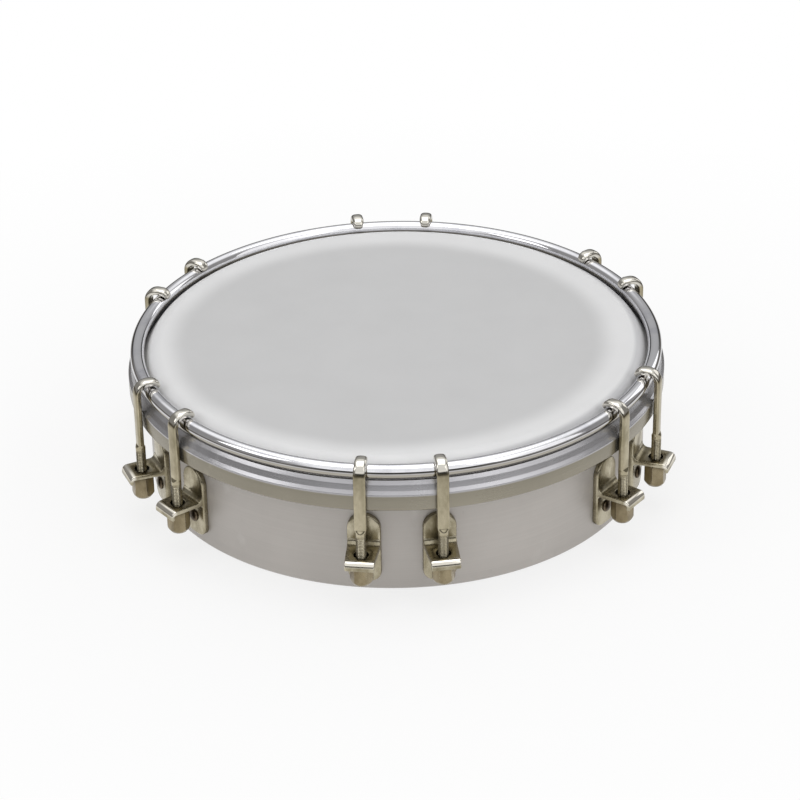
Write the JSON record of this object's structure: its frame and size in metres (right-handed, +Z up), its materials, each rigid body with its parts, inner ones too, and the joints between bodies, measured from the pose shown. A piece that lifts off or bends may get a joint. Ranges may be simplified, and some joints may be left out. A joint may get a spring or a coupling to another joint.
{
  "type": "tamborim",
  "caption": "Small samba hand drum: a shallow spun metal shell, open below, with a milky film head under a chromed rod hoop, tuned by bent hooks and hex nuts on paired lugs.",
  "frame": {"origin": "centre of the open lower rim, on the plane that the drum rests on", "axes": "+Z up the drum's centre line from the open lower rim to the drumhead; -Y towards the front pair of lugs; +X to the right of someone who looks at that pair"},
  "size_m": [0.1672, 0.1762, 0.0462],
  "materials": {
    "shell_aluminium": "spun aluminium, satin, with fine lines around the drum",
    "flesh_hoop_aluminium": "turned aluminium, brighter than the shell",
    "milky_film": "milky polyester film, satin, translucent",
    "counter_hoop_chrome": "bright chrome plate on steel rod",
    "bracket_nickel": "warm nickel plate on steel, fairly bright",
    "hook_nickel": "warm nickel plate on bent steel rod, bright at the crown",
    "nut_nickel": "warm nickel plate on steel, a little darker than the bracket",
    "rivet_steel": "plated steel, a little dull"
  },
  "bodies": {
    "drum": {"shell": "shell_aluminium", "drumhead_film": "milky_film", "flesh_hoop": "flesh_hoop_aluminium", "counter_hoop": "counter_hoop_chrome", "lug_bracket_01": "bracket_nickel", "lug_bracket_02": "bracket_nickel", "lug_bracket_03": "bracket_nickel", "lug_bracket_04": "bracket_nickel", "lug_bracket_05": "bracket_nickel", "lug_bracket_06": "bracket_nickel", "lug_bracket_07": "bracket_nickel", "lug_bracket_08": "bracket_nickel", "lug_bracket_09": "bracket_nickel", "lug_bracket_10": "bracket_nickel", "lug_bracket_11": "bracket_nickel", "lug_bracket_12": "bracket_nickel", "lug_rivet_01": "rivet_steel", "lug_rivet_02": "rivet_steel", "lug_rivet_03": "rivet_steel", "lug_rivet_04": "rivet_steel", "lug_rivet_05": "rivet_steel", "lug_rivet_06": "rivet_steel", "lug_rivet_07": "rivet_steel", "lug_rivet_08": "rivet_steel", "lug_rivet_09": "rivet_steel", "lug_rivet_10": "rivet_steel", "lug_rivet_11": "rivet_steel", "lug_rivet_12": "rivet_steel"},
    "hook_01": {"tension_hook_01": "hook_nickel"},
    "nut_01": {"tuning_nut_01": "nut_nickel"},
    "hook_02": {"tension_hook_02": "hook_nickel"},
    "nut_02": {"tuning_nut_02": "nut_nickel"},
    "hook_03": {"tension_hook_03": "hook_nickel"},
    "nut_03": {"tuning_nut_03": "nut_nickel"},
    "hook_04": {"tension_hook_04": "hook_nickel"},
    "nut_04": {"tuning_nut_04": "nut_nickel"},
    "hook_05": {"tension_hook_05": "hook_nickel"},
    "nut_05": {"tuning_nut_05": "nut_nickel"},
    "hook_06": {"tension_hook_06": "hook_nickel"},
    "nut_06": {"tuning_nut_06": "nut_nickel"},
    "hook_07": {"tension_hook_07": "hook_nickel"},
    "nut_07": {"tuning_nut_07": "nut_nickel"},
    "hook_08": {"tension_hook_08": "hook_nickel"},
    "nut_08": {"tuning_nut_08": "nut_nickel"},
    "hook_09": {"tension_hook_09": "hook_nickel"},
    "nut_09": {"tuning_nut_09": "nut_nickel"},
    "hook_10": {"tension_hook_10": "hook_nickel"},
    "nut_10": {"tuning_nut_10": "nut_nickel"},
    "hook_11": {"tension_hook_11": "hook_nickel"},
    "nut_11": {"tuning_nut_11": "nut_nickel"},
    "hook_12": {"tension_hook_12": "hook_nickel"},
    "nut_12": {"tuning_nut_12": "nut_nickel"}
  },
  "joints": [
    {"name": "nut_spin_01", "type": "hinge", "parent": "drum", "child": "nut_01", "pos_m": [-0.01174, -0.08247, 0.011], "axis": [0, 0, -1], "range_deg": [0, 3600]},
    {"name": "hook_lift_01", "type": "slide", "parent": "drum", "child": "hook_01", "axis": [0, 0, 1], "range_m": [0, 0.005]},
    {"name": "nut_spin_02", "type": "hinge", "parent": "drum", "child": "nut_02", "pos_m": [0.01174, -0.08247, 0.011], "axis": [0, 0, -1], "range_deg": [0, 3600]},
    {"name": "hook_lift_02", "type": "slide", "parent": "drum", "child": "hook_02", "axis": [0, 0, 1], "range_m": [0, 0.005]},
    {"name": "nut_spin_03", "type": "hinge", "parent": "drum", "child": "nut_03", "pos_m": [0.06555, -0.0514, 0.011], "axis": [0, 0, -1], "range_deg": [0, 3600]},
    {"name": "hook_lift_03", "type": "slide", "parent": "drum", "child": "hook_03", "axis": [0, 0, 1], "range_m": [0, 0.005]},
    {"name": "nut_spin_04", "type": "hinge", "parent": "drum", "child": "nut_04", "pos_m": [0.07729, -0.03107, 0.011], "axis": [0, 0, -1], "range_deg": [0, 3600]},
    {"name": "hook_lift_04", "type": "slide", "parent": "drum", "child": "hook_04", "axis": [0, 0, 1], "range_m": [0, 0.005]},
    {"name": "nut_spin_05", "type": "hinge", "parent": "drum", "child": "nut_05", "pos_m": [0.07729, 0.03107, 0.011], "axis": [0, 0, -1], "range_deg": [0, 3600]},
    {"name": "hook_lift_05", "type": "slide", "parent": "drum", "child": "hook_05", "axis": [0, 0, 1], "range_m": [0, 0.005]},
    {"name": "nut_spin_06", "type": "hinge", "parent": "drum", "child": "nut_06", "pos_m": [0.06555, 0.0514, 0.011], "axis": [0, 0, -1], "range_deg": [0, 3600]},
    {"name": "hook_lift_06", "type": "slide", "parent": "drum", "child": "hook_06", "axis": [0, 0, 1], "range_m": [0, 0.005]},
    {"name": "nut_spin_07", "type": "hinge", "parent": "drum", "child": "nut_07", "pos_m": [0.01174, 0.08247, 0.011], "axis": [0, 0, -1], "range_deg": [0, 3600]},
    {"name": "hook_lift_07", "type": "slide", "parent": "drum", "child": "hook_07", "axis": [0, 0, 1], "range_m": [0, 0.005]},
    {"name": "nut_spin_08", "type": "hinge", "parent": "drum", "child": "nut_08", "pos_m": [-0.01174, 0.08247, 0.011], "axis": [0, 0, -1], "range_deg": [0, 3600]},
    {"name": "hook_lift_08", "type": "slide", "parent": "drum", "child": "hook_08", "axis": [0, 0, 1], "range_m": [0, 0.005]},
    {"name": "nut_spin_09", "type": "hinge", "parent": "drum", "child": "nut_09", "pos_m": [-0.06555, 0.0514, 0.011], "axis": [0, 0, -1], "range_deg": [0, 3600]},
    {"name": "hook_lift_09", "type": "slide", "parent": "drum", "child": "hook_09", "axis": [0, 0, 1], "range_m": [0, 0.005]},
    {"name": "nut_spin_10", "type": "hinge", "parent": "drum", "child": "nut_10", "pos_m": [-0.07729, 0.03107, 0.011], "axis": [0, 0, -1], "range_deg": [0, 3600]},
    {"name": "hook_lift_10", "type": "slide", "parent": "drum", "child": "hook_10", "axis": [0, 0, 1], "range_m": [0, 0.005]},
    {"name": "nut_spin_11", "type": "hinge", "parent": "drum", "child": "nut_11", "pos_m": [-0.07729, -0.03107, 0.011], "axis": [0, 0, -1], "range_deg": [0, 3600]},
    {"name": "hook_lift_11", "type": "slide", "parent": "drum", "child": "hook_11", "axis": [0, 0, 1], "range_m": [0, 0.005]},
    {"name": "nut_spin_12", "type": "hinge", "parent": "drum", "child": "nut_12", "pos_m": [-0.06555, -0.0514, 0.011], "axis": [0, 0, -1], "range_deg": [0, 3600]},
    {"name": "hook_lift_12", "type": "slide", "parent": "drum", "child": "hook_12", "axis": [0, 0, 1], "range_m": [0, 0.005]}
  ],
  "couplings": [
    {"joint": "nut_spin_01", "follows": "hook_lift_01", "rad_per_m": 12566},
    {"joint": "nut_spin_02", "follows": "hook_lift_02", "rad_per_m": 12566},
    {"joint": "nut_spin_03", "follows": "hook_lift_03", "rad_per_m": 12566},
    {"joint": "nut_spin_04", "follows": "hook_lift_04", "rad_per_m": 12566},
    {"joint": "nut_spin_05", "follows": "hook_lift_05", "rad_per_m": 12566},
    {"joint": "nut_spin_06", "follows": "hook_lift_06", "rad_per_m": 12566},
    {"joint": "nut_spin_07", "follows": "hook_lift_07", "rad_per_m": 12566},
    {"joint": "nut_spin_08", "follows": "hook_lift_08", "rad_per_m": 12566},
    {"joint": "nut_spin_09", "follows": "hook_lift_09", "rad_per_m": 12566},
    {"joint": "nut_spin_10", "follows": "hook_lift_10", "rad_per_m": 12566},
    {"joint": "nut_spin_11", "follows": "hook_lift_11", "rad_per_m": 12566},
    {"joint": "nut_spin_12", "follows": "hook_lift_12", "rad_per_m": 12566}
  ]
}
